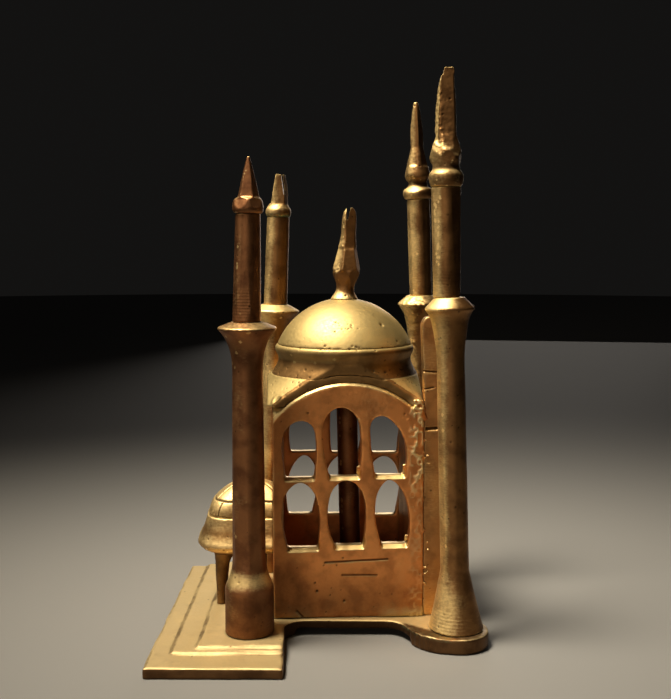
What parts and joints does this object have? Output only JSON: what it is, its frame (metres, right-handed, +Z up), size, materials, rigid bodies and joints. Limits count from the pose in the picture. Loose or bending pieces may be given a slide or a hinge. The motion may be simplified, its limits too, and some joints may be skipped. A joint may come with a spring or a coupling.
{
  "type": "miniature mosque model",
  "caption": "Cast brass table-top mosque model: domed hall with arched windows, side porch and corner minarets on a stepped plate.",
  "frame": {"origin": "on the table, under the middle of the base plate", "axes": "+Z up along the towers, +Y from the window front to the back, +X to the right seen from the front"},
  "size_m": [0.103, 0.0944, 0.1763],
  "materials": {
    "plate_brass": "hand-finished, worn bright on the upper faces, brown patina on the sides",
    "panel_copper_brass": "copper-toned reddish brown patina, smooth, with fine pits",
    "wall_brass": "dull brown patina, filed",
    "dome_brass": "polished by handling, satin, with fine pits",
    "porch_brass": "satin, rubbed on raised parts, dark in the incised joints",
    "tower_brass": "filed and turned, brown patina in the hollows",
    "dark_brass": "dark brown patina, rubbed on the edges"
  },
  "bodies": {
    "root": {"base_plate": "plate_brass", "corner_bar": "wall_brass", "dome_finial": "tower_brass", "dome_shell": "dome_brass", "drum_ring": "dome_brass", "front_panel": "panel_copper_brass", "left_front_spire": "dark_brass", "left_front_tower": "dark_brass", "left_front_upper_shaft": "dark_brass", "left_rear_spire": "tower_brass", "left_rear_tower": "tower_brass", "left_rear_upper_shaft": "tower_brass", "left_wall": "wall_brass", "porch_column_front": "porch_brass", "porch_column_front_inner": "porch_brass", "porch_column_rear": "porch_brass", "porch_column_rear_inner": "porch_brass", "porch_dome": "porch_brass", "porch_eave": "porch_brass", "rear_panel": "panel_copper_brass", "right_front_spire": "tower_brass", "right_front_tower": "tower_brass", "right_front_upper_shaft": "tower_brass", "right_rear_spire": "tower_brass", "right_rear_tower": "tower_brass", "right_rear_upper_shaft": "tower_brass", "right_wall": "wall_brass", "roof": "dome_brass", "tie_nut": "dark_brass", "tie_post": "dark_brass"}
  },
  "joints": []
}
